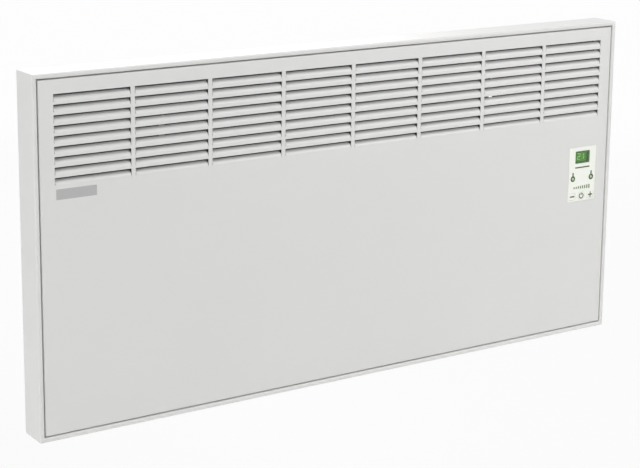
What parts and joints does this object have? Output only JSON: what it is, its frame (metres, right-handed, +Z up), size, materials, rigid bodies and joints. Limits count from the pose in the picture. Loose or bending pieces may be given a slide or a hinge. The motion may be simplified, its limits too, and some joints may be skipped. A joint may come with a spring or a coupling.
{
  "type": "panel convector heater",
  "caption": "Shallow rectangular wall heater: steel case, louvred front panel, finned element and a small keypad with display, hung on a wall rail.",
  "frame": {"origin": "middle of the wall rail's back face, on the wall plane", "axes": "+X to the right seen from the room, +Y into the wall, +Z up"},
  "size_m": [0.9, 0.06, 0.45],
  "materials": {
    "white_powder_coat": "fine satin powder coat",
    "galvanised_steel": "galvanised sheet",
    "zinc_plated_steel": "zinc plated",
    "spring_steel": "blued spring steel",
    "aluminium": "extruded, mill finish",
    "ceramic": "unglazed",
    "rubber": "matt",
    "black_plastic": "moulded",
    "grey_plastic": "moulded",
    "white_plastic": "satin moulded",
    "display_lens": "clear tinted window",
    "display_glass": "lit liquid crystal",
    "indicator_lens": "frosted light guide",
    "circuit_board": "solder mask",
    "capacitor_sleeve": "shrunk sleeve",
    "brown_insulation": "silicone insulation",
    "blue_insulation": "silicone insulation",
    "white_insulation": "silicone insulation"
  },
  "bodies": {
    "wall_mount": {"wall_rail": "zinc_plated_steel"},
    "heater": {"case_frame": "white_powder_coat", "front_panel": "white_powder_coat", "back_panel": "white_powder_coat", "panel_clip_top_left": "spring_steel", "panel_clip_bottom_left": "spring_steel", "panel_clip_top_right": "spring_steel", "panel_clip_bottom_right": "spring_steel", "back_screw_1": "zinc_plated_steel", "back_screw_2": "zinc_plated_steel", "back_screw_3": "zinc_plated_steel", "back_screw_4": "zinc_plated_steel", "back_screw_5": "zinc_plated_steel", "back_screw_6": "zinc_plated_steel", "wall_bumper_left": "rubber", "wall_bumper_right": "rubber", "heating_element": "aluminium", "reflector": "galvanised_steel", "element_bracket_left": "galvanised_steel", "element_bracket_right": "galvanised_steel", "element_bush_left": "ceramic", "element_bush_right": "ceramic", "terminal_bead_left": "ceramic", "terminal_bead_right": "ceramic", "terminal_pin_left": "zinc_plated_steel", "terminal_pin_right": "zinc_plated_steel", "limiter_bridge": "galvanised_steel", "thermal_limiter": "black_plastic", "control_fascia": "white_plastic", "display_window": "display_lens", "display_module": "display_glass", "display_board": "circuit_board", "control_housing": "black_plastic", "housing_cover": "black_plastic", "power_board": "circuit_board", "power_relay": "black_plastic", "board_transformer": "grey_plastic", "smoothing_capacitor": "capacitor_sleeve", "key_switch_minus": "black_plastic", "key_switch_power": "black_plastic", "key_switch_plus": "black_plastic", "indicator_light_left": "indicator_lens", "indicator_light_right": "indicator_lens", "housing_nut_top": "zinc_plated_steel", "housing_nut_bottom": "zinc_plated_steel", "terminal_block": "white_plastic", "cable_gland": "black_plastic", "gland_nut": "black_plastic", "sensor_clip": "grey_plastic", "room_sensor": "black_plastic", "lead_supply": "brown_insulation", "lead_element": "blue_insulation", "lead_switched": "white_insulation", "lead_limiter": "white_insulation"},
    "key_minus": {"key_minus": "white_plastic"},
    "key_power": {"key_power": "white_plastic"},
    "key_plus": {"key_plus": "white_plastic"}
  },
  "joints": [
    {"name": "lift_off", "type": "slide", "parent": "wall_mount", "child": "heater", "axis": [0, 0, 1], "range_m": [0, 0.014]},
    {"name": "press_minus", "type": "slide", "parent": "heater", "child": "key_minus", "axis": [0, 1, 0], "range_m": [0, 0.0005], "stiffness_N_per_m": 1500, "springref_m": -0.0002},
    {"name": "press_power", "type": "slide", "parent": "heater", "child": "key_power", "axis": [0, 1, 0], "range_m": [0, 0.0005], "stiffness_N_per_m": 1500, "springref_m": -0.0002},
    {"name": "press_plus", "type": "slide", "parent": "heater", "child": "key_plus", "axis": [0, 1, 0], "range_m": [0, 0.0005], "stiffness_N_per_m": 1500, "springref_m": -0.0002}
  ]
}
